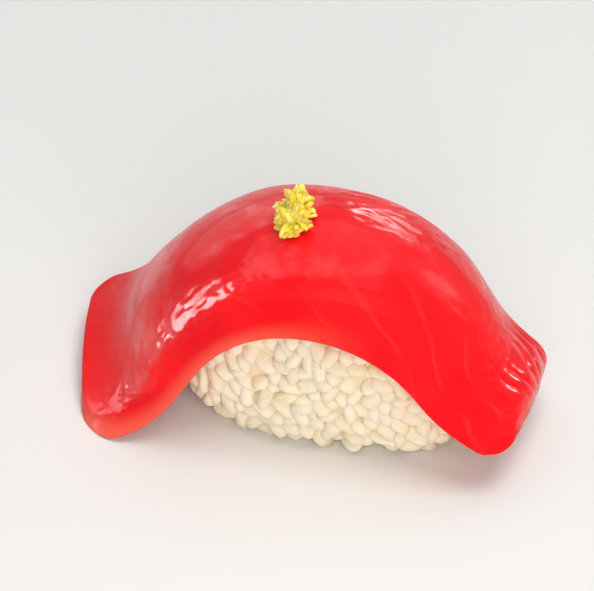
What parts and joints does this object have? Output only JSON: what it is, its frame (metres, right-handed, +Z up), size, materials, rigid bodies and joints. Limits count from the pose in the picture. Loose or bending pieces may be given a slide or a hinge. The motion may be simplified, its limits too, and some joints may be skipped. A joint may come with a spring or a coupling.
{
  "type": "tuna nigiri",
  "caption": "Nigiri sushi: a slice of raw red tuna draped over a pressed oblong of vinegared rice, with a pinch of yellow shreds on top.",
  "frame": {"origin": "middle of the footprint, at the flat underside of the rice", "axes": "+X along the slice, -Y out of the long side where the most rice shows, +Z up"},
  "size_m": [0.072, 0.0318, 0.0409],
  "materials": {
    "rice": "moist cooked short-grain rice",
    "tuna": "wet raw red fish",
    "garnish": "moist yellow shreds"
  },
  "bodies": {
    "root": {"rice": "rice", "tuna": "tuna", "garnish": "garnish"}
  },
  "joints": []
}
